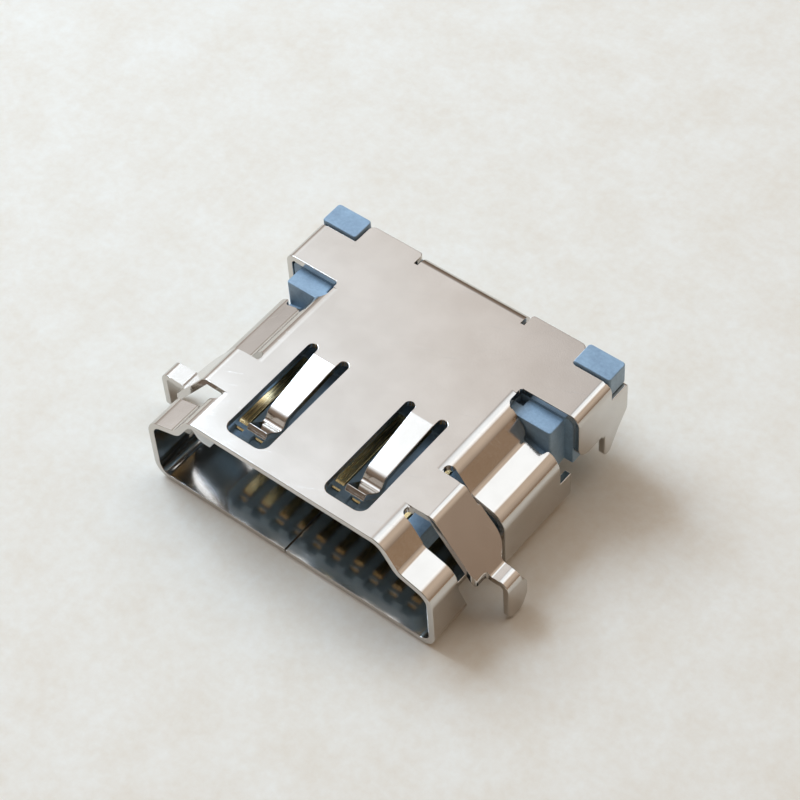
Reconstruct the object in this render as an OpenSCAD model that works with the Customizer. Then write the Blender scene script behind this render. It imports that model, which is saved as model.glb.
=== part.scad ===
// Digital video socket for a board with a cut-out: a folded metal shell round
// a moulded insulator, whose tongue carries two rows of contacts.
// Millimetres. X runs across the mouth, Y into the socket and Z up.
// The origin is under the middle of the socket, level with the shell's floor.

/* [Mouth] */
// Inside width of the mouth along its wide side
opening_w = 14; // [13:0.1:15.5]
// Inside height of the mouth
opening_h = 4.55; // [4.3:0.05:5.2]
// Width of the flat roof between its bend corners
roof_w = 9.8; // [9.5:0.02:10.3]
// Height of the shoulder's outer corner above the floor
shoulder_h = 3.4; // [3.1:0.02:3.6]
// Distance from the middle to the shoulder's inner corner
step_x = 5.74; // [5.5:0.02:6]
// Height of the shoulder's inner corner above the floor
step_z = 3.9; // [3.7:0.02:4.1]
// Thickness of the shell's sheet
sheet = 0.3; // [0.2:0.02:0.36]

/* [Bends] */
// Outer radius of the floor corners
floor_r = 0.8; // [0.5:0.05:1.1]
// Outer radius of the roof bends
roof_r = 0.9; // [0.5:0.05:1.1]
// Outer radius of the shoulder bends
shoulder_r = 0.9; // [0.6:0.05:1.1]
// Outer radius of the bends at the shoulder's inner corners
step_r = 0.45; // [0.2:0.05:0.6]
// Inner radius of the folds in the flaps, legs and springs
fold_r = 0.2; // [0.1:0.02:0.3]

/* [Depths] */
// Depth of the closed collar behind the mouth
collar_d = 1.6; // [1.3:0.05:2]
// Length of the side windows that the front legs are cut from
window_d = 2.95; // [2.7:0.05:3.4]
// Length of the closed barrel behind the windows
barrel_d = 3.65; // [3.3:0.05:4.6]
// Reach of the barrel's skirt below the board
skirt_d = 0.7; // [0.4:0.05:0.9]
// Length of the rear cover behind the barrel
cover_d = 4.3; // [4:0.05:5.4]
// Reach of the solder tails behind the cover
tail_out = 0.9; // [0.7:0.05:1.6]

/* [Springs] */
// Distance of each spring from the middle
spring_x = 2.49; // [2:0.02:2.8]
// Width of a spring at its root
spring_w = 1.16; // [0.9:0.02:1.4]
// Width of a spring at its tip
spring_tip_w = 0.95; // [0.7:0.02:1.1]
// Width of the slots beside a spring
spring_slot = 0.45; // [0.3:0.02:0.6]
// Solid rim between the mouth and a spring window
spring_rim = 0.67; // [0.4:0.02:1]
// Length of a spring window
spring_l = 5.4; // [4.8:0.05:6]
// Radius of a spring window's front corners
spring_window_r = 0.42; // [0.2:0.02:0.5]
// Gap between the front of its window and a spring's lip
lip_gap = 0.8; // [0.5:0.05:1]
// Length of the lip ahead of the contact bump
lip_l = 0.9; // [0.6:0.05:1.1]
// Length of the dip behind the contact bump
dip_l = 0.42; // [0.3:0.02:0.6]
// Drop of a spring at the start of its dip
knee_drop = 0.42; // [0.2:0.02:0.5]
// Drop of a spring at its contact bump
bump_drop = 0.98; // [0.8:0.02:1.05]
// Drop of the end of a spring's lip
lip_drop = 0.16; // [0.05:0.01:0.4]

/* [Front legs] */
// Width of a leg's flap along the shell
flap_w = 2; // [1.7:0.05:2.2]
// Distance from the middle to the inner ends of the flap's slots
slot_x = 4.64; // [4.3:0.02:4.7]
// Roof of the flap outside the roof's own bend corner
flap_roof = 0.83; // [0.7:0.02:1]
// Distance of the flap's foot outside the shell's wall
flap_foot = 0.58; // [0.4:0.02:0.7]
// Distance of the leg's outer face outside the shell's wall
leg_reach = 1.5; // [1.3:0.02:1.8]
// Extra reach of the left leg, which stands bent out
left_leg_out = 0.45; // [0:0.05:0.6]
// Width of the tab that carries the leg
leg_w = 0.85; // [0.7:0.05:1]
// Distance of the tab behind the middle of its flap
leg_back = 0.14; // [0:0.02:0.3]
// Height of the leg's tip above the shell's floor
leg_tip_z = 0.06; // [0.02:0.02:0.6]
// Bulge of the board lock behind the leg
lock_out = 0.34; // [0.1:0.02:0.5]
// Width of floor that a side window takes from its corner
window_floor = 1.1; // [0.9:0.05:1.5]

/* [Rear cover] */
// Width of the rear cover over its side flaps
cover_w = 15; // [14.6:0.05:16]
// Distance from the middle to the ear notches
ear_notch_x = 4.67; // [4.4:0.02:4.8]
// Length of the ear notches behind the barrel
ear_notch_d = 0.95; // [0.9:0.02:1.2]
// Width of the rear corner notches
corner_w = 1.95; // [1.6:0.05:2.3]
// Length of the rear corner notches
corner_d = 1.15; // [0.9:0.05:1.5]
// Drop from the roof to the ledge under a corner notch
corner_drop = 0.95; // [0.8:0.05:1.2]
// Height of the side flaps' lower edge above the floor
side_flap_z = 2.5; // [2.3:0.05:2.8]
// Width of a rear leg
rear_leg_w = 0.98; // [0.8:0.02:1.2]
// Distance of a rear leg ahead of the cover's end
rear_leg_in = 0.62; // [0.4:0.02:0.8]
// Height of a rear leg's tip above the floor
rear_leg_z = 1.04; // [0.4:0.02:1.4]
// Width of the rear flap
rear_flap_w = 5.3; // [4.4:0.05:6.4]
// Drop of the rear flap below the roof
rear_flap_h = 1.7; // [1.2:0.05:2]
// Width of the relief slots beside the rear flap
relief_w = 0.17; // [0.1:0.01:0.3]

/* [Insulator] */
// Gap between the insulator and the shell
fit = 0.03; // [0.01:0.01:0.06]
// Depth from the mouth to the tongue's front
tongue_y = 1.48; // [1.2:0.02:1.9]
// Width of the tongue
tongue_w = 10.3; // [10:0.05:11]
// Thickness of the tongue
tongue_t = 1.25; // [1.1:0.05:1.4]
// Height of the tongue's underside above the floor
tongue_z = 2.25; // [2.1:0.02:2.3]
// Depth from the mouth to the insulator's wall
wall_y = 7; // [6.4:0.05:7.4]
// Step of the thicker root behind the tongue
root_step = 0.25; // [0.15:0.05:0.3]
// Width over the insulator's ears
ear_w = 13.5; // [12.8:0.05:13.9]
// Drop of the ears' tops below the roof
ear_drop = 0.5; // [0.4:0.05:0.8]
// Height of the corner blocks above the roof
corner_rise = 0.15; // [0.05:0.01:0.3]
// Height of the board's face above the shell's floor
board_z = 2.05; // [1.9:0.01:2.1]
// Gap between the board's face and the insulator
board_gap = 0.1; // [0.05:0.01:0.15]

/* [Contacts] */
// Pitch of the contacts along each row
pitch = 1; // [0.95:0.01:1.05]
// Width of a contact on the tongue
contact_w = 0.45; // [0.35:0.01:0.55]
// Width of a solder tail
tail_w = 0.25; // [0.18:0.01:0.3]
// Thickness of a contact
contact_t = 0.2; // [0.15:0.01:0.22]
// Height of a contact above the tongue's face
contact_proud = 0.05; // [0.02:0.01:0.08]
// Distance from the tongue's front to a contact's tip
contact_tip = 0.5; // [0.3:0.05:0.9]
// Height at which the contacts leave the insulator above the board
exit_rise = 0.5; // [0.4:0.02:0.6]
// Gap between a contact and its channel
channel_gap = 0.02; // [0.01:0.01:0.04]

/* [Hidden] */
$fn = 64;
lower_count = 10;
upper_count = 9;
contact_count = lower_count + upper_count;

shell_color = [0.74, 0.70, 0.65];
housing_color = [0.17, 0.20, 0.23];
contact_color = [0.86, 0.70, 0.38];

// Flats that make up a bend
bend_steps = 8;
// A cut runs this far past the faces that it opens
over = 0.5;
// Radius of small cut corners in the sheet
nick_r = 0.15;
// Radius of the ear notches' front corners
notch_r = 0.3;
// Height of the skirt's top above the floor
skirt_z = 1.9;
// Distance of the cover's side edges ahead of its rear flap's outer face
edge_in = 0.05;
// Depth in the insulator's wall at which a contact narrows
neck_in = 0.3;
// Length over which a contact narrows
neck_l = 0.2;
// Depth and length of a contact's tucked tip
tip_tuck = 0.22;
tip_l = 0.35;
// Depths in the wall at which the lower and upper contacts change their level
lower_jog = 0.3;
upper_jog = 2.4;
// Shortest run of a change of level
jog_min = 0.3;
// Run of a tail's slope for each millimetre of its drop
tail_run = 0.7;

wall_x = opening_w / 2 + sheet;
roof_z = opening_h + 2 * sheet;
roof_mid = roof_z - sheet / 2;
roof_flat_x = roof_w / 2 - round_run([0, roof_z], [roof_w / 2, roof_z], [step_x, step_z], roof_r);
barrel_y = collar_d + window_d;
barrel_end = barrel_y + barrel_d;
cover_end = barrel_end + cover_d;
total_d = cover_end + tail_out;
fold_mid = fold_r + sheet / 2;

spring_end = spring_rim + spring_l;
spring_half = spring_w / 2 + spring_slot;
spring_tip_y = spring_rim + lip_gap;
spring_bump_y = spring_tip_y + lip_l;
spring_knee_y = spring_bump_y + dip_l;

flap_y = collar_d + (window_d - flap_w) / 2;
flap_mid = flap_y + flap_w / 2;
flap_slot = (window_d - flap_w) / 2;
leg_y = flap_mid + leg_back - leg_w / 2;
tab_mid = board_z + sheet / 2;

skirt_end = barrel_end + skirt_d;
notch_end = barrel_end + ear_notch_d;
corner_y = cover_end - corner_d;
corner_x = cover_w / 2 - corner_w;
corner_z = roof_z - corner_drop;
flap_x = cover_w / 2;
edge_y = cover_end - edge_in;

body_z = board_z + board_gap;
body_top = roof_z - sheet - fit;
body_x = cover_w / 2 - sheet - fit;
body_end = cover_end - sheet - fit;
neck_y = wall_y + neck_in;
tail_mid = board_z + contact_t / 2;
exit_mid = board_z + exit_rise;

function flat(p) = [p[0], p[1]];
function unit(v) = v / norm(v);
function opening_angle(p, q, s) = acos(max(-1, min(1, unit(p - q) * unit(s - q))));
function heading(p, q) = atan2(q[1] - p[1], q[0] - p[0]);
function compass(angle) = [cos(angle), sin(angle)];
function turns_left(p, q, s) = cross(q - p, s - q) > 0;
function at(points, i) = flat(points[(i + len(points)) % len(points)]);

// Run from a corner to where its rounding starts
function round_run(p, q, s, r) = r / tan(opening_angle(p, q, s) / 2);
// Centre of the rounding of a corner
function round_centre(p, q, s, r) =
    q + unit(unit(p - q) + unit(s - q)) * r / sin(opening_angle(p, q, s) / 2);

// Right half of an outline joined to its mirror image
function both_halves(half) =
    concat(half, [for (i = [len(half) - 1 : -1 : 0]) [-half[i][0], half[i][1], half[i][2]]]);

// Outline moved in by a distance, with its corner radii
function inset(points, d) = [
    for (i = [0 : len(points) - 1])
        let (p = at(points, i - 1), q = at(points, i), s = at(points, i + 1),
            side = turns_left(p, q, s) ? 1 : -1,
            c = q + side * (round_centre(p, q, s, d) - q))
            [c[0], c[1], max(points[i][2] - side * d, 0)]
];

// The shell's section seen from the mouth, as [x, z, radius] corners
function section() = both_halves([
    [wall_x, 0, floor_r],
    [wall_x, shoulder_h, shoulder_r],
    [step_x, step_z, step_r],
    [roof_w / 2, roof_z, roof_r],
]);

// Arc round the bend at q, a distance out to the left of the middle line
function bend_arc(p, q, s, r, out) =
    let (side = turns_left(p, q, s) ? 1 : -1,
        centre = round_centre(p, q, s, r),
        start = heading(p, q) - side * 90,
        sweep = side * (180 - opening_angle(p, q, s)),
        reach = r - side * out)
        [for (k = [0 : bend_steps]) centre + reach * compass(start + sweep * k / bend_steps)];

// One long edge of a bent strip, a distance out to the left of its middle line
function strip_side(path, r, out) =
    let (last = len(path) - 1)
        concat(
            [path[0] + out * compass(heading(path[0], path[1]) + 90)],
            [
                for (i = [1 : 1 : last - 1])
                    each bend_arc(path[i - 1], path[i], path[i + 1], r, out)
            ],
            [path[last] + out * compass(heading(path[last - 1], path[last]) + 90)]
        );

// Path lengthened at its first point
function led_in(path, d) =
    concat([path[0] + unit(path[0] - path[1]) * d], [for (i = [1 : len(path) - 1]) path[i]]);

function contact_name(i) = str("contact_", i < 10 ? "0" : "", i);
function is_lower(i) = i % 2 == 1;
// Contacts are numbered across the socket, the two rows in turn
function contact_x(i) = (i - (contact_count + 1) / 2) * pitch / 2;

module along_x(x0, x1) {
    translate([x0, 0, 0]) rotate([90, 0, 90]) linear_extrude(x1 - x0) children();
}

module along_y(y0, y1) {
    translate([0, y1, 0]) rotate([90, 0, 0]) linear_extrude(y1 - y0) children();
}

module along_z(z0, z1) {
    translate([0, 0, z0]) linear_extrude(z1 - z0) children();
}

module both_sides() {
    children();
    mirror([1, 0, 0]) children();
}

// Everything is drawn from the mouth and then set round the origin
module placed() {
    translate([0, -total_d / 2, 0]) children();
}

// Outline of [x, y, radius] corners, anticlockwise, with true round corners
module soft_outline(points) {
    n = len(points);
    difference() {
        union() {
            polygon([
                for (i = [0 : n - 1])
                    let (p = at(points, i - 1), q = at(points, i), s = at(points, i + 1),
                        run = round_run(p, q, s, points[i][2]))
                        for (end = points[i][2] > 0 ? [p, s] : [q + [1, 0]])
                            q + (points[i][2] > 0 ? unit(end - q) * run : [0, 0])
            ]);
            for (i = [0 : n - 1])
                if (points[i][2] > 0 && turns_left(at(points, i - 1), at(points, i), at(points, i + 1)))
                    corner_disc(points, i);
        }
        for (i = [0 : n - 1])
            if (points[i][2] > 0 && !turns_left(at(points, i - 1), at(points, i), at(points, i + 1)))
                corner_disc(points, i);
    }
}

module corner_disc(points, i) {
    r = points[i][2];
    translate(round_centre(at(points, i - 1), at(points, i), at(points, i + 1), r)) circle(r);
}

// Strip of sheet along its middle line, every corner a bend of middle radius r
module bent_sheet(path, t, r) {
    left = strip_side(path, r, t / 2);
    polygon(concat(strip_side(path, r, -t / 2), [for (i = [len(left) - 1 : -1 : 0]) left[i]]));
}

// Closed section from the mouth to the end of the ear notches, with a shorter skirt
module section_tube() {
    difference() {
        along_y(0, notch_end) difference() {
            soft_outline(section());
            soft_outline(inset(section(), sheet));
        }
        translate([-wall_x - over, skirt_end, -over])
            cube([2 * (wall_x + over), notch_end, skirt_z + 2 * over]);
    }
}

// Butt seam across the floor, with a dovetail that keys the two edges
module floor_seam() {
    gap = 0.06;
    seam_x = -0.33;
    key_x = -1.1;
    key_y = skirt_end * 0.36;
    key_d = skirt_end * 0.24;
    flare = 0.2;
    path = [
        [seam_x, -over],
        [seam_x, key_y],
        [key_x, key_y - flare],
        [key_x, key_y + key_d + flare],
        [seam_x, key_y + key_d],
        [seam_x, skirt_end + over],
    ];
    along_z(-over, sheet + over) {
        for (i = [0 : len(path) - 2]) bent_sheet([path[i], path[i + 1]], gap, gap);
        for (i = [1 : len(path) - 2]) translate(path[i]) circle(gap / 2);
    }
}

// Opening in the right wall that the leg's flap was cut from
module leg_window() {
    foot_lean = 0.5;
    foot_z = 0.65;
    lean_z = 2.3;
    along_z(lean_z, roof_z + over) {
        translate([slot_x + flap_slot / 2, collar_d]) square([wall_x, window_d]);
        translate([roof_flat_x, flap_y]) square([wall_x, flap_w]);
    }
    along_x(wall_x - window_floor, wall_x + over) soft_outline([
        [collar_d + foot_lean, -over, 0],
        [barrel_y, -over, 0],
        [barrel_y, shoulder_h + over, 0],
        [collar_d, shoulder_h + over, 0],
        [collar_d, lean_z, nick_r * 4],
        [collar_d + foot_lean, foot_z, nick_r * 2],
    ]);
}

// Round-ended slots between the right flap and the roof on each side of it
module flap_slots() {
    for (y = [collar_d, barrel_y - flap_slot])
        along_z(roof_z - sheet - over, roof_z + over) translate([slot_x, y]) {
            translate([flap_slot / 2, flap_slot / 2]) circle(flap_slot / 2);
            translate([flap_slot / 2, 0]) square([wall_x - slot_x, flap_slot]);
        }
}

// Right front leg: roof, sloping flap, level tab and a leg with a board lock
module front_leg(reach) {
    foot_x = wall_x + flap_foot;
    tab_x = foot_x - sheet / 2;
    leg_mid_x = wall_x + reach - sheet / 2;
    turn_x = leg_mid_x - fold_mid - sheet;
    flap_front_r = 0.2;
    flap_rear_r = 0.6;
    flare = 0.16;
    front_tip_r = 0.35;
    rear_tip_r = 0.48;
    lock_r = 0.5;
    lock_z = leg_tip_z + 0.65;
    lock_top = board_z - 0.5;
    lock_root = board_z - 0.15;
    flap_end = flap_y + flap_w;
    tab_end = leg_y + leg_w;
    lock_end = tab_end + lock_out;
    path = [
        [slot_x - over, roof_mid],
        [roof_w / 2 + flap_roof, roof_mid],
        [foot_x, tab_mid],
        [leg_mid_x, tab_mid],
        [leg_mid_x, 0],
    ];
    intersection() {
        along_y(flap_y - over, flap_end + over) bent_sheet(path, sheet, fold_mid);
        union() {
            along_z(0, roof_z + over) soft_outline([
                [0, flap_y, 0],
                [tab_x, flap_y, flap_front_r],
                [tab_x, leg_y, nick_r],
                [turn_x, leg_y, 0],
                [turn_x, tab_end, 0],
                [tab_x, tab_end, nick_r],
                [tab_x, flap_end + flare, flap_rear_r],
                [roof_w / 2, flap_end, 0],
                [0, flap_end, 0],
            ]);
            along_x(turn_x, wall_x + reach + over) soft_outline([
                [leg_y, board_z + over, 0],
                [leg_y, leg_tip_z, front_tip_r],
                [tab_end, leg_tip_z, rear_tip_r],
                [lock_end, lock_z, lock_r],
                [lock_end, lock_top, lock_r],
                [tab_end, lock_root, nick_r],
                [tab_end, board_z + over, 0],
            ]);
        }
    }
}

// Windows in the roof that leave the right spring standing on its root
module spring_window() {
    slot_r = spring_slot / 2;
    along_z(roof_z - sheet - over, roof_z + over) translate([spring_x, 0]) {
        soft_outline([
            [-spring_half, spring_rim, spring_window_r],
            [spring_half, spring_rim, spring_window_r],
            [spring_half, spring_end - slot_r, 0],
            [-spring_half, spring_end - slot_r, 0],
        ]);
        for (side = [-1, 1]) translate([side * (spring_half - slot_r), spring_end - slot_r]) circle(slot_r);
    }
}

// Right spring finger: a long ramp, a bump that presses on the plug, and a lip
module spring() {
    root_y = spring_end + over / 2;
    path = [
        [root_y, roof_mid],
        [spring_end - spring_slot / 2 - fold_r, roof_mid],
        [spring_knee_y, roof_mid - knee_drop],
        [spring_bump_y, roof_mid - bump_drop],
        [spring_tip_y, roof_mid - lip_drop],
    ];
    translate([spring_x, 0, 0]) intersection() {
        along_x(-spring_w, spring_w) bent_sheet(path, sheet, fold_mid);
        along_z(0, roof_z) polygon([
            [-spring_w / 2, root_y],
            [-spring_w / 2, spring_end - spring_slot / 2],
            [-spring_tip_w / 2, spring_knee_y],
            [-spring_tip_w / 2, 0],
            [spring_tip_w / 2, 0],
            [spring_tip_w / 2, spring_knee_y],
            [spring_w / 2, spring_end - spring_slot / 2],
            [spring_w / 2, root_y],
        ]);
    }
}

// Cut behind the barrel's right side down to its skirt, with a nick in the shoulder
module ear_notch() {
    nick_x = step_x - 0.1;
    nick_l = 1;
    nick_d = 0.3;
    along_z(skirt_z, roof_z + over) soft_outline([
        [ear_notch_x, barrel_end, notch_r],
        [nick_x, barrel_end, nick_r],
        [nick_x, barrel_end - nick_d, nick_r],
        [nick_x + nick_l, barrel_end - nick_d, nick_r],
        [nick_x + nick_l, barrel_end, nick_r],
        [wall_x + over, barrel_end, 0],
        [wall_x + over, notch_end + over, 0],
        [ear_notch_x, notch_end + over, 0],
    ]);
}

// Flat roof of the rear cover
module cover_roof() {
    rear_r = 0.3;
    along_z(roof_z - sheet, roof_z) soft_outline(both_halves([
        [roof_flat_x, notch_end - over, 0],
        [roof_flat_x, notch_end - 2 * nick_r, 0],
        [ear_notch_x, notch_end - 2 * nick_r, 0],
        [ear_notch_x, notch_end, nick_r],
        [flap_x - sheet - fold_r, notch_end, 0],
        [flap_x - sheet - fold_r, corner_y, 0],
        [corner_x, corner_y, nick_r],
        [corner_x, edge_y, rear_r],
        [rear_flap_w / 2 + relief_w, edge_y, nick_r],
        [rear_flap_w / 2 + relief_w, cover_end - sheet - fold_r - relief_w, 0],
        [rear_flap_w / 2, cover_end - sheet - fold_r - relief_w, 0],
        [rear_flap_w / 2, cover_end - sheet - fold_r, 0],
    ]));
}

// Right side flap of the rear cover with its leg
module side_flap() {
    leg_end = cover_end - rear_leg_in;
    leg_front = leg_end - rear_leg_w;
    relief = 0.16;
    relief_r = 0.1;
    front_r = 0.8;
    tip_r = 0.2;
    tip_w = rear_leg_w * 0.4;
    heel_z = rear_leg_z + 0.95;
    heel_r = 0.3;
    back_z = side_flap_z + 0.2;
    intersection() {
        along_y(barrel_end, cover_end) bent_sheet([
            [flap_x - sheet - fold_r - over, roof_mid],
            [flap_x - sheet / 2, roof_mid],
            [flap_x - sheet / 2, 0],
        ], sheet, fold_mid);
        along_x(ear_notch_x, flap_x + over) soft_outline([
            [notch_end, roof_z + over, 0],
            [notch_end, side_flap_z, front_r],
            [leg_front - relief, side_flap_z, relief_r],
            [leg_front - relief, side_flap_z - relief, 0],
            [leg_front, side_flap_z - relief, 0],
            [leg_front, rear_leg_z, tip_r],
            [leg_front + tip_w, rear_leg_z, tip_r],
            [leg_end, heel_z, heel_r],
            [edge_y, back_z, heel_r],
            [edge_y, corner_z, nick_r],
            [corner_y, corner_z, 2 * fit],
            [corner_y, roof_z + over, 0],
        ]);
    }
}

// Rear flap folded down behind the insulator
module rear_flap() {
    along_x(-rear_flap_w / 2, rear_flap_w / 2) bent_sheet([
        [cover_end - sheet - fold_r - over, roof_mid],
        [cover_end - sheet / 2, roof_mid],
        [cover_end - sheet / 2, roof_z - rear_flap_h],
    ], sheet, fold_mid);
}

module shell() {
    color(shell_color) placed() {
        difference() {
            union() {
                difference() {
                    section_tube();
                    floor_seam();
                    both_sides() {
                        leg_window();
                        spring_window();
                        ear_notch();
                    }
                }
                cover_roof();
                rear_flap();
                both_sides() {
                    spring();
                    side_flap();
                }
                front_leg(leg_reach);
                mirror([1, 0, 0]) front_leg(leg_reach + left_leg_out);
            }
            both_sides() flap_slots();
        }
    }
}

// Insulator wall that fills the barrel behind the tongue
module insulator_wall() {
    foot_end = barrel_end + skirt_d / 2;
    difference() {
        along_y(wall_y, foot_end) soft_outline(inset(section(), sheet + fit));
        along_z(body_z, roof_z) translate([-wall_x, barrel_end + 3 * fit]) square([2 * wall_x, skirt_d]);
    }
}

// Tongue with chamfered front edges on a thicker root
module tongue() {
    lead = 0.2;
    front_r = 0.4;
    root_l = 0.8;
    top = tongue_z + tongue_t;
    root_y = wall_y - root_l;
    intersection() {
        along_x(-tongue_w / 2, tongue_w / 2) polygon([
            [tongue_y, tongue_z + lead],
            [tongue_y + lead, tongue_z],
            [wall_y + over, tongue_z],
            [wall_y + over, top],
            [tongue_y + lead, top],
            [tongue_y, top - lead],
        ]);
        along_z(0, roof_z) soft_outline([
            [-tongue_w / 2, tongue_y, front_r],
            [tongue_w / 2, tongue_y, front_r],
            [tongue_w / 2, wall_y + over, 0],
            [-tongue_w / 2, wall_y + over, 0],
        ]);
    }
    translate([-tongue_w / 2 - root_step, root_y, tongue_z - root_step])
        cube([tongue_w + 2 * root_step, root_l + over, tongue_t + 2 * root_step]);
}

// Groove ahead of a contact's tip, open at the tongue's front
module tip_groove(i) {
    half = contact_w / 2 + channel_gap;
    low = is_lower(i) ? tongue_z - over : tongue_z + tongue_t - contact_t;
    translate([contact_x(i) - half, tongue_y - over, low])
        cube([2 * half, contact_tip + over, contact_t + over]);
}

// Section that takes a bevel off an edge whose corner is at its origin
module edge_bevel(c) {
    polygon([[-c, 0], [0, -c], [over, -c], [over, over], [-c, over]]);
}

// Block under the cover's roof, bevelled to clear the folds of its flaps
module cover_core() {
    flank_end = edge_y - fit;
    flank_r = 0.3;
    flap_half = rear_flap_w / 2 + relief_w;
    neck_x = ear_notch_x - fit;
    difference() {
        along_z(body_z, body_top) soft_outline(both_halves([
            [neck_x, barrel_end + fit, 0],
            [neck_x, notch_end + fit, 0],
            [body_x, notch_end + fit, 0],
            [body_x, flank_end, flank_r],
            [flap_half, flank_end, 0],
            [flap_half, body_end, 0],
        ]));
        along_x(-flap_half, flap_half) translate([body_end, body_top]) edge_bevel(fold_r);
        both_sides() {
            along_y(notch_end, cover_end + over) translate([body_x, body_top]) edge_bevel(fold_r);
            along_y(barrel_end, notch_end + fit) translate([neck_x, body_top]) edge_bevel(fold_r);
        }
    }
}

// Bar across the block that ends in the ears, with a pocket in each ear's inner corner
module ears() {
    ear_r = 0.1;
    pocket = 0.38;
    ear_z = roof_z - ear_drop;
    difference() {
        along_z(body_z, ear_z) soft_outline([
            [-ear_w / 2, barrel_end + 2 * fit, ear_r],
            [ear_w / 2, barrel_end + 2 * fit, ear_r],
            [ear_w / 2, notch_end + 2 * fit, 0],
            [-ear_w / 2, notch_end + 2 * fit, 0],
        ]);
        both_sides() translate([ear_notch_x - over, notch_end + fit - pocket, ear_z - pocket])
            cube([over - fit + pocket, pocket + over, pocket + over]);
    }
}

// Right block that fills the cover's rear corner notch
module corner_block() {
    front_r = 0.1;
    rear_r = 0.15;
    along_z(corner_z + fit, roof_z + corner_rise) soft_outline([
        [corner_x + fit, corner_y + fit, front_r],
        [flap_x - sheet / 2, corner_y + fit, front_r],
        [flap_x - sheet / 2, cover_end, rear_r],
        [corner_x + fit, cover_end, rear_r],
    ]);
}

module housing() {
    color(housing_color) placed() difference() {
        union() {
            insulator_wall();
            tongue();
            cover_core();
            ears();
            both_sides() corner_block();
        }
        for (i = [1 : contact_count]) {
            contact_form(i, channel_gap);
            tip_groove(i);
        }
    }
}

// Middle line of a contact as [y, z] corners, from its tip to its tail's end
function contact_path(i) =
    let (lower = is_lower(i),
        face = lower ? tongue_z - contact_proud : tongue_z + tongue_t + contact_proud,
        mid = lower ? face + contact_t / 2 : face - contact_t / 2,
        tuck = lower ? tip_tuck : -tip_tuck,
        tip_y = tongue_y + contact_tip,
        jog_y = neck_y + (lower ? lower_jog : upper_jog),
        jog_l = max(abs(mid - exit_mid), jog_min),
        drop_y = cover_end + fit)
        [
            [tip_y, mid + tuck],
            [tip_y + tip_l, mid],
            [jog_y, mid],
            [jog_y + jog_l, exit_mid],
            [drop_y, exit_mid],
            [drop_y + exit_rise * tail_run, tail_mid],
            [total_d, tail_mid],
        ];

// Contact strip, wide on the tongue and narrow from the wall to its tail
module contact_form(i, gap) {
    thick = contact_t + 2 * gap;
    half = contact_w / 2 + gap;
    tail_half = tail_w / 2 + gap;
    translate([contact_x(i), 0, 0]) intersection() {
        along_x(-half, half) bent_sheet(led_in(contact_path(i), gap), thick, contact_t);
        along_z(0, roof_z) polygon([
            [-half, 0],
            [half, 0],
            [half, neck_y],
            [tail_half, neck_y + neck_l],
            [tail_half, total_d + over],
            [-tail_half, total_d + over],
            [-tail_half, neck_y + neck_l],
            [-half, neck_y],
        ]);
    }
}

module contact(i) {
    color(contact_color) placed() contact_form(i, 0);
}

shell();
housing();
for (i = [1 : contact_count]) contact(i);
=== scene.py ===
"""Looks of a board-mounted digital video socket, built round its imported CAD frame."""
import math

import bmesh
import bpy
from mathutils import Matrix, Vector
from mathutils.bvhtree import BVHTree
from mathutils.kdtree import KDTree


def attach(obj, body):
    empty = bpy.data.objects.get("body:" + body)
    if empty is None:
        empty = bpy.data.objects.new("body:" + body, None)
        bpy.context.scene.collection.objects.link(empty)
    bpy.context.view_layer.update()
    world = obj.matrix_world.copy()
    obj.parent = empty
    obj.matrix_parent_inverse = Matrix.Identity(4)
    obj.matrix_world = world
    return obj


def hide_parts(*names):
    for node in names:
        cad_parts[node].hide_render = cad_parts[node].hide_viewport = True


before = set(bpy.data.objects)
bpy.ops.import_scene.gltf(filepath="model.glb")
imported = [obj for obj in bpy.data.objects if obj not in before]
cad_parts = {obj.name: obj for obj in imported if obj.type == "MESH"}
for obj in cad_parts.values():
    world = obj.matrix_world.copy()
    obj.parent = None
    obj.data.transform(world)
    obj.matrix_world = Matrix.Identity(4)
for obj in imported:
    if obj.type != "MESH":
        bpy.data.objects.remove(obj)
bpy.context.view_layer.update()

MM = 0.001

# Camera, fitted to the photograph's 800 x 800 frame, with its angles in degrees
IMAGE_SIZE = 800
FOCAL_PX = 2411.1
CAMERA_MM = Vector((40.996, -44.684, 78.973))
AZIMUTH = 42.23
ELEVATION = 51.28
ROLL = -4.60
SENSOR_WIDTH = 36.0

# Nearest and farthest distance that the camera sees, in metres
CLIP_NEAR = 0.001
CLIP_FAR = 20.0

# Widths of the rolled edges in millimetres, and the steps across a roll
SHEET_EDGE = 0.035
MOULD_EDGE = 0.05
STRIP_EDGE = 0.02
ROLL_STEPS = 2

# Convex edges that turn by more than this are rolled
SHARP_ANGLE = math.radians(32)

# Faces that turn from each other by more than this don't share their shading
CREASE_ANGLE = math.radians(50)

# Two flats wider than this, in millimetres, meet in a crisp fold when they turn by more than the angle
FLAT_WIDTH = 0.4
FOLD_ANGLE = math.radians(3)

# Gaps, lengths and widths in millimetres, and turns, below these are leftovers of the CAD mesh
WELD = 0.0005
SLIVER = 0.002
THIN = 0.012
LEVEL_ANGLE = math.radians(0.3)

# Tries at rolling a node's edges, and the room in millimetres left round places where a roll fails
ROLL_TRIES = 5
ROLL_ROOM = 0.3

# Shares of a roll's width, off the CAD surface, at which a point is drawn back and a face strays
PULL_SHARE = 0.5
STRAY_SHARE = 0.6

# A face shows its back when the cosine of its turn from the CAD surface is below this
BACK_COSINE = -0.2

# Darker and paler tint of each material
NICKEL_TINTS = ((0.575, 0.54, 0.50), (0.62, 0.585, 0.545))
SLATE_TINTS = ((0.19, 0.285, 0.38), (0.285, 0.42, 0.535))
GOLD_TINTS = ((0.80, 0.60, 0.28), (0.88, 0.72, 0.42))
PAPER_TINTS = ((0.81, 0.715, 0.585), (0.875, 0.815, 0.71))

# Floor's half side in metres, and its drop below the object in millimetres
FLOOR_HALF = 1.5
FLOOR_DROP = 0.004

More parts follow.
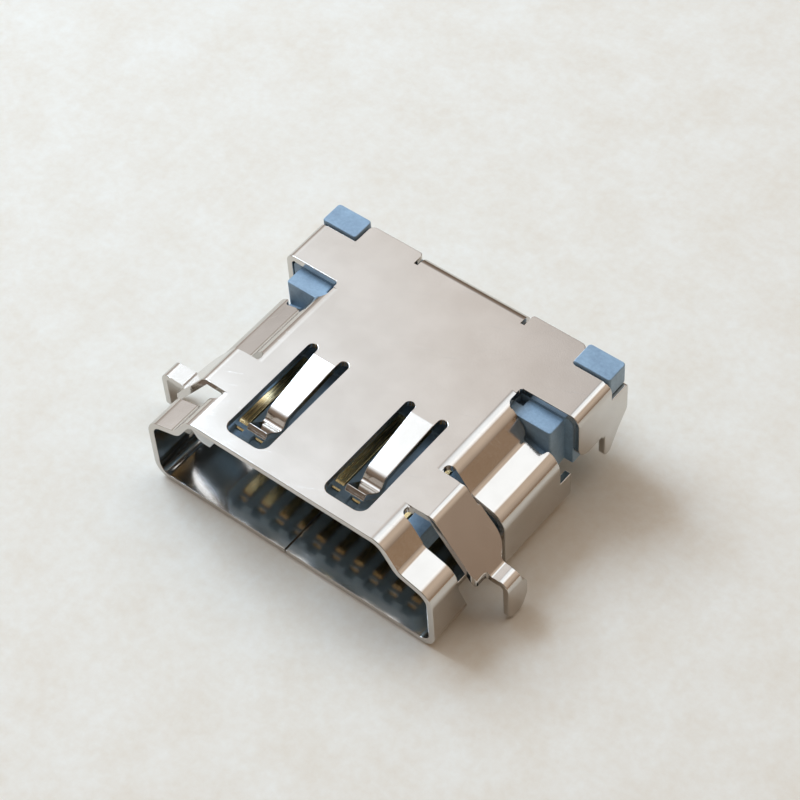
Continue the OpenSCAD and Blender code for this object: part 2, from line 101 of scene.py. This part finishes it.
# Lamp at the window, with its distance and side in metres
LAMP_WAY = (-0.68, 0.10, 0.72)
LAMP_DISTANCE = 0.20
LAMP_SIDE = 0.10
LAMP_RADIANCE = 7.9
LAMP_COLOR = (0.57, 0.76, 1.0)

# Colours of the room, by place from its warm right side at 0 to the middle of the cool window at 1
WINDOW_WAY = (-0.66, 0.12, 0.74)
ROOM_COLORS = [
    (0.00, (0.46, 0.29, 0.15)),
    (0.24, (0.42, 0.28, 0.175)),
    (0.29, (0.325, 0.245, 0.19)),
    (0.42, (0.10, 0.08, 0.065)),
    (0.62, (0.10, 0.08, 0.065)),
    (0.87, (0.325, 0.25, 0.20)),
    (0.915, (0.485, 0.46, 0.44)),
    (0.930, (0.63, 0.61, 0.61)),
    (0.945, (1.01, 0.965, 0.945)),
    (0.955, (1.135, 1.135, 1.15)),
    (0.9645, (1.19, 1.24, 1.30)),
    (0.971, (1.44, 1.53, 1.62)),
    (0.980, (1.755, 1.89, 2.025)),
]

# Soft patches of light: direction, angles in degrees where each is full and where it is gone, and colour
CEILING = ((0.10, 0.47, 0.87), 9, 22, (1.16, 1.34, 1.50))
LEFT_WALL = ((-0.96, 0.28, 0.0), 10, 40, (0.25, 0.25, 0.25))
RIGHT_WALL = ((0.62, 0.46, 0.63), 4, 34, (0.70, 0.58, 0.47))


def new_material(name):
    """An empty material with a Principled shader, as (material, tree, shader)."""
    mat = bpy.data.materials.new(name)
    mat.use_nodes = True
    tree = mat.node_tree
    tree.nodes.clear()
    output = tree.nodes.new("ShaderNodeOutputMaterial")
    shader = tree.nodes.new("ShaderNodeBsdfPrincipled")
    tree.links.new(shader.outputs["BSDF"], output.inputs["Surface"])
    return mat, tree, shader


def millimetres(tree, scale=(1, 1, 1), turn=(0, 0, 0)):
    """Object coordinates in millimetres, turned by angles in degrees and then stretched."""
    coords = tree.nodes.new("ShaderNodeTexCoord")
    mapping = tree.nodes.new("ShaderNodeMapping")
    mapping.vector_type = "TEXTURE"
    mapping.inputs["Scale"].default_value = [MM / factor for factor in scale]
    mapping.inputs["Rotation"].default_value = [math.radians(angle) for angle in turn]
    tree.links.new(coords.outputs["Object"], mapping.inputs["Vector"])
    return mapping.outputs["Vector"]


def noise(tree, vector, scale, detail=3.0, rough=0.5):
    """Soft random pattern between 0 and 1."""
    node = tree.nodes.new("ShaderNodeTexNoise")
    node.inputs["Scale"].default_value = scale
    node.inputs["Detail"].default_value = detail
    node.inputs["Roughness"].default_value = rough
    tree.links.new(vector, node.inputs["Vector"])
    return node.outputs["Fac"]


def spread(tree, value, low, high, to_low=0, to_high=1):
    """A value carried from one range to another and held at its ends."""
    node = tree.nodes.new("ShaderNodeMapRange")
    for name, number in (("From Min", low), ("From Max", high), ("To Min", to_low), ("To Max", to_high)):
        node.inputs[name].default_value = number
    tree.links.new(value, node.inputs["Value"])
    return node.outputs["Result"]


def combine(tree, operation, first, second):
    """Math node on two values, each a socket or a number."""
    node = tree.nodes.new("ShaderNodeMath")
    node.operation = operation
    for socket, value in zip(node.inputs, (first, second)):
        if isinstance(value, (int, float)):
            socket.default_value = value
        else:
            tree.links.new(value, socket)
    return node.outputs["Value"]


def mottled(tree, coarse, fine, fine_share):
    """A coarse pattern with a share of a fine one in it."""
    coarse_part = combine(tree, "MULTIPLY", coarse, 1 - fine_share)
    fine_part = combine(tree, "MULTIPLY", fine, fine_share)
    return combine(tree, "ADD", coarse_part, fine_part)


def hairs(tree, stretch, turn, low, high):
    """Hair-fine scratches that run one way, as a mask cut from a stretched pattern."""
    lines = noise(tree, millimetres(tree, stretch, (0, 0, turn)), scale=1.0, detail=2.0)
    return spread(tree, lines, low, high)


def blended(tree, factor, first, second):
    """Colour between two colours, each given as (r, g, b)."""
    node = tree.nodes.new("ShaderNodeMix")
    node.data_type = "RGBA"
    node.inputs["A"].default_value = (*first, 1)
    node.inputs["B"].default_value = (*second, 1)
    tree.links.new(factor, node.inputs["Factor"])
    return node.outputs["Result"]


def tint(tree, shader, pattern, low, high, tints):
    """Let the base colour go between two tints as a pattern goes from low to high."""
    color = blended(tree, spread(tree, pattern, low, high), *tints)
    tree.links.new(color, shader.inputs["Base Color"])


def emboss(tree, shader, height, strength, distance_mm):
    """Give a shader's surface a fine relief."""
    node = tree.nodes.new("ShaderNodeBump")
    node.inputs["Strength"].default_value = strength
    node.inputs["Distance"].default_value = distance_mm * MM
    tree.links.new(height, node.inputs["Height"])
    tree.links.new(node.outputs["Normal"], shader.inputs["Normal"])


def nickel():
    """Bright nickel plate on rolled sheet, with a soft grain and hair-fine scratches."""
    mat, tree, shader = new_material("nickel_plate")
    shader.inputs["Metallic"].default_value = 1.0
    plain = millimetres(tree)
    cloud = noise(tree, plain, scale=0.55, detail=4.0)
    grain = noise(tree, plain, scale=14.0, rough=0.6)
    along_width = hairs(tree, stretch=(0.35, 16.0, 1.0), turn=24, low=0.68, high=0.74)
    along_depth = hairs(tree, stretch=(14.0, 0.4, 1.0), turn=-38, low=0.69, high=0.75)
    scratch = combine(tree, "MAXIMUM", along_width, along_depth)
    tint(tree, shader, cloud, 0.35, 0.65, NICKEL_TINTS)
    fine_satin = spread(tree, grain, 0.3, 0.7, to_low=0.07, to_high=0.12)
    broad_satin = spread(tree, cloud, 0.3, 0.7, to_high=0.03)
    satin = combine(tree, "ADD", fine_satin, broad_satin)
    scratch_rough = combine(tree, "MULTIPLY", scratch, 0.10)
    tree.links.new(combine(tree, "ADD", satin, scratch_rough), shader.inputs["Roughness"])
    scratch_depth = combine(tree, "MULTIPLY", scratch, 0.6)
    relief = combine(tree, "SUBTRACT", grain, scratch_depth)
    emboss(tree, shader, relief, strength=0.10, distance_mm=0.01)
    return mat


def moulding():
    """Slate-coloured moulded plastic, clouded and with a fine grain."""
    mat, tree, shader = new_material("slate_moulding")
    plain = millimetres(tree)
    cloud = noise(tree, plain, scale=1.1, detail=4.0)
    dust = noise(tree, plain, scale=6.0, detail=4.0, rough=0.7)
    grain = noise(tree, plain, scale=26.0, rough=0.6)
    tint(tree, shader, mottled(tree, cloud, dust, fine_share=0.5), 0.36, 0.64, SLATE_TINTS)
    tree.links.new(spread(tree, grain, 0.3, 0.7, to_low=0.34, to_high=0.48), shader.inputs["Roughness"])
    shader.inputs["Specular IOR Level"].default_value = 0.7
    emboss(tree, shader, grain, strength=0.25, distance_mm=0.02)
    return mat


def gold():
    """Thin gold plate on a stamped strip, dulled in patches."""
    mat, tree, shader = new_material("gold_plate")
    shader.inputs["Metallic"].default_value = 1.0
    cloud = noise(tree, millimetres(tree), scale=2.2, detail=4.0)
    drawn = noise(tree, millimetres(tree, (30.0, 0.8, 1.0)), scale=1.0, detail=2.0)
    tint(tree, shader, cloud, 0.35, 0.65, GOLD_TINTS)
    tree.links.new(spread(tree, drawn, 0.3, 0.7, to_low=0.18, to_high=0.32), shader.inputs["Roughness"])
    emboss(tree, shader, drawn, strength=0.08, distance_mm=0.01)
    return mat


def paper():
    """Pale paper, clouded and with soft fibres."""
    mat, tree, shader = new_material("pale_paper")
    plain = millimetres(tree)
    cloud = noise(tree, plain, scale=0.35, detail=5.0, rough=0.65)
    fibre = noise(tree, plain, scale=2.4, detail=4.0, rough=0.6)
    tint(tree, shader, mottled(tree, cloud, fibre, fine_share=0.4), 0.35, 0.65, PAPER_TINTS)
    shader.inputs["Roughness"].default_value = 0.85
    emboss(tree, shader, fibre, strength=0.2, distance_mm=0.05)
    return mat


def fans(vert):
    """Faces round a vertex, in groups that meet across smooth edges."""
    left = list(vert.link_faces)
    while left:
        fan = [left.pop()]
        for face in fan:
            for edge in face.edges:
                if vert in edge.verts and edge.smooth:
                    joined = [other for other in edge.link_faces if other in left]
                    left = [other for other in left if other not in joined]
                    fan.extend(joined)
        yield fan


def width_of(face):
    """Mean width of a face across its longest edge."""
    return face.calc_area() / max(edge.calc_length() for edge in face.edges)


def is_smooth(edge):
    """Whether the faces beside an edge share their shading."""
    if len(edge.link_faces) != 2:
        return False
    angle = edge.calc_face_angle()
    narrow = min(width_of(face) for face in edge.link_faces)
    if narrow > FLAT_WIDTH:
        return angle < FOLD_ANGLE
    return angle < CREASE_ANGLE or narrow < THIN


def corner_normal(face, fan, areas, thin):
    """Normal of a face at a fan's corner, led by the larger faces near it, or by the fan's largest."""
    near = [other for other in fan if face.normal.dot(other.normal) > math.cos(CREASE_ANGLE)]
    if all(thin[other.index] for other in near):
        near = [max(fan, key=lambda other: areas[other.index])]
    total = sum((other.normal * areas[other.index] ** 2 for other in near), Vector())
    return total.normalized()


def fair_normals(bm):
    """Corner normals led by the larger faces, so flats stay flat up to their rolled edges."""
    bm.normal_update()
    for edge in bm.edges:
        edge.smooth = is_smooth(edge)
    bm.faces.index_update()
    areas = [face.calc_area() for face in bm.faces]
    thin = [width_of(face) < THIN for face in bm.faces]
    normals = {}
    for vert in bm.verts:
        for fan in fans(vert):
            for face in fan:
                normals[face, vert] = corner_normal(face, fan, areas, thin)
    return [normals[face, loop.vert] for face in bm.faces for loop in face.loops]


def cleaned(mesh):
    """A CAD mesh without its leftovers, and its surface to measure from, as (bmesh, surface)."""
    bm = bmesh.new()
    bm.from_mesh(mesh)
    bmesh.ops.remove_doubles(bm, verts=bm.verts, dist=WELD)
    surface = BVHTree.FromBMesh(bm)
    bmesh.ops.dissolve_degenerate(bm, dist=SLIVER, edges=bm.edges)
    bmesh.ops.dissolve_limit(bm, angle_limit=LEVEL_ANGLE, verts=bm.verts, edges=bm.edges)
    return bm, surface


def is_clear(edge, spots):
    """Whether an edge keeps its distance from the spots in a tree."""
    start, end = (vert.co for vert in edge.verts)
    steps = max(1, int((end - start).length / ROLL_ROOM))
    return all(spots.find(start.lerp(end, step / steps))[2] > ROLL_ROOM for step in range(steps + 1))


def sharp_edges(bm, crossings):
    """Sharp convex edges that keep clear of the places where a roll has crossed itself."""
    sharp = [edge for edge in bm.edges if edge.is_convex and edge.calc_face_angle() > SHARP_ANGLE]
    if not crossings:
        return sharp
    spots = KDTree(len(crossings))
    for index, spot in enumerate(crossings):
        spots.insert(spot, index)
    spots.balance()
    return [edge for edge in sharp if is_clear(edge, spots)]


def roll_over(bm, surface, sharp, width):
    """Bevel the sharp edges, and draw the points that leave the CAD surface back to it."""
    bmesh.ops.bevel(
        bm, geom=sharp, offset=width, offset_type="OFFSET", segments=ROLL_STEPS, profile=0.5, affect="EDGES",
        clamp_overlap=False, loop_slide=True, miter_outer="SHARP", miter_inner="SHARP",
    )
    for vert in bm.verts:
        nearest, _, _, gap = surface.find_nearest(vert.co)
        if gap > PULL_SHARE * width:
            vert.co = nearest
    bmesh.ops.remove_doubles(bm, verts=bm.verts, dist=SLIVER)


def strays(bm, surface, reach):
    """Middles of the triangles that leave the CAD surface or turn their backs on it."""
    found = []
    for loops in bm.calc_loop_triangles():
        first, second, third = (loop.vert.co for loop in loops)
        across = (second - first).cross(third - first)
        middle = (first + second + third) / 3
        _, normal, _, gap = surface.find_nearest(middle)
        turned = normal.dot(across) < BACK_COSINE * across.length
        if across.length > SLIVER ** 2 and (gap > reach or turned):
            found.append(middle)
    return found


def face_outward(bm, surface):
    """Turn round the faces that show their backs on the CAD surface."""
    bm.normal_update()
    turned = []
    for face in bm.faces:
        _, normal, _, _ = surface.find_nearest(face.calc_center_median())
        if normal.dot(face.normal) < BACK_COSINE:
            turned.append(face)
    bmesh.ops.reverse_faces(bm, faces=turned)


def rolled(mesh, width):
    """A CAD mesh with its sharp edges rolled over, except where the roll would cross itself."""
    crossings = []
    for _ in range(ROLL_TRIES):
        bm, surface = cleaned(mesh)
        roll_over(bm, surface, sharp_edges(bm, crossings), width)
        found = strays(bm, surface, STRAY_SHARE * width)
        if not found:
            break
        crossings += found
    face_outward(bm, surface)
    return bm


def dress(name, node, mat, width):
    """Put a copy of a CAD node in its place, with its sharp edges rolled over and its material on."""
    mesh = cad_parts[node].data.copy()
    mesh.materials.clear()
    mesh.materials.append(mat)
    mesh.attributes.remove(mesh.attributes["custom_normal"])
    mesh.transform(Matrix.Scale(1 / MM, 4))
    bm = rolled(mesh, width)
    for face in bm.faces:
        face.smooth = True
    normals = fair_normals(bm)
    bm.to_mesh(mesh)
    bm.free()
    mesh.normals_split_custom_set(normals)
    mesh.transform(Matrix.Scale(MM, 4))
    piece = bpy.data.objects.new(name, mesh)
    bpy.context.scene.collection.objects.link(piece)
    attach(piece, "root")
    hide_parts(node)


def add_camera():
    """Camera at the photograph's viewpoint."""
    camera = bpy.data.objects.new("camera", bpy.data.cameras.new("camera"))
    bpy.context.scene.collection.objects.link(camera)
    camera.data.sensor_fit = "HORIZONTAL"
    camera.data.sensor_width = SENSOR_WIDTH
    camera.data.lens = FOCAL_PX / IMAGE_SIZE * SENSOR_WIDTH
    camera.data.clip_start = CLIP_NEAR
    camera.data.clip_end = CLIP_FAR
    azimuth = math.radians(AZIMUTH)
    elevation = math.radians(ELEVATION)
    level = math.cos(elevation)
    ahead = Vector((-math.sin(azimuth) * level, math.cos(azimuth) * level, -math.sin(elevation)))
    aim = ahead.to_track_quat("-Z", "Y").to_matrix().to_4x4()
    tilt = Matrix.Rotation(math.radians(ROLL), 4, "Z")
    camera.matrix_world = Matrix.Translation(CAMERA_MM * MM) @ aim @ tilt
    bpy.context.scene.camera = camera


def add_lamp():
    """Soft square lamp at the window, which faces the object."""
    data = bpy.data.lights.new("window", "AREA")
    data.shape = "SQUARE"
    data.size = LAMP_SIDE
    # An area lamp's radiance is its energy over four times its area
    data.energy = 4 * LAMP_SIDE ** 2 * LAMP_RADIANCE
    data.color = LAMP_COLOR
    lamp = bpy.data.objects.new("window", data)
    toward = Vector(LAMP_WAY).normalized()
    lamp.location = toward * LAMP_DISTANCE
    lamp.rotation_euler = (-toward).to_track_quat("-Z", "Y").to_euler()
    bpy.context.scene.collection.objects.link(lamp)


def dot_with(tree, ways, direction):
    """How far each way out of the scene lies along a direction, from -1 to 1."""
    node = tree.nodes.new("ShaderNodeVectorMath")
    node.operation = "DOT_PRODUCT"
    tree.links.new(ways, node.inputs[0])
    node.inputs[1].default_value = Vector(direction).normalized()
    return node.outputs["Value"]


def added(tree, first, second):
    """Sum of two colours."""
    node = tree.nodes.new("ShaderNodeVectorMath")
    node.operation = "ADD"
    tree.links.new(first, node.inputs[0])
    tree.links.new(second, node.inputs[1])
    return node.outputs["Vector"]


def room_ramp(tree, place):
    """Colours of the room, from its warm right side to the cool window on the left."""
    ramp = tree.nodes.new("ShaderNodeValToRGB")
    stops = ramp.color_ramp.elements
    for position, _ in ROOM_COLORS[1:-1]:
        stops.new(position)
    for stop, (position, color) in zip(stops, ROOM_COLORS):
        stop.position = position
        stop.color = (*color, 1)
    tree.links.new(place, ramp.inputs["Fac"])
    return ramp.outputs["Color"]


def glow(tree, ways, direction, core, edge, color):
    """Soft round patch of light, full inside its core angle and gone at its edge angle."""
    nearness = dot_with(tree, ways, direction)
    share = spread(tree, nearness, math.cos(math.radians(edge)), math.cos(math.radians(core)))
    return blended(tree, share, (0, 0, 0), color)


def add_world():
    """Soft room light: a cool window on the left, a warm dim right side and three soft patches."""
    world = bpy.data.worlds.new("room")
    bpy.context.scene.world = world
    world.use_nodes = True
    tree = world.node_tree
    tree.nodes.clear()
    output = tree.nodes.new("ShaderNodeOutputWorld")
    background = tree.nodes.new("ShaderNodeBackground")
    ways = tree.nodes.new("ShaderNodeTexCoord").outputs["Generated"]
    light = room_ramp(tree, spread(tree, dot_with(tree, ways, WINDOW_WAY), -1, 1))
    for patch in (CEILING, LEFT_WALL, RIGHT_WALL):
        light = added(tree, light, glow(tree, ways, *patch))
    tree.links.new(light, background.inputs["Color"])
    tree.links.new(background.outputs["Background"], output.inputs["Surface"])


def add_floor():
    """Plain pale floor, just under the object."""
    mesh = bpy.data.meshes.new("floor")
    sides = ((-1, -1), (1, -1), (1, 1), (-1, 1))
    corners = [(FLOOR_HALF * x, FLOOR_HALF * y, 0) for x, y in sides]
    mesh.from_pydata(corners, [], [(0, 1, 2, 3)])
    mesh.materials.append(paper())
    floor = bpy.data.objects.new("floor", mesh)
    floor.location.z = -FLOOR_DROP * MM
    bpy.context.scene.collection.objects.link(floor)


add_camera()
add_world()
add_floor()
add_lamp()

dress("folded_shell", "shell", nickel(), SHEET_EDGE)
dress("moulded_insulator", "housing", moulding(), MOULD_EDGE)
strip = gold()
for contact in sorted(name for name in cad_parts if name.startswith("contact_")):
    dress(f"{contact}_strip", contact, strip, STRIP_EDGE)

bpy.context.scene.view_settings.view_transform = "Standard"
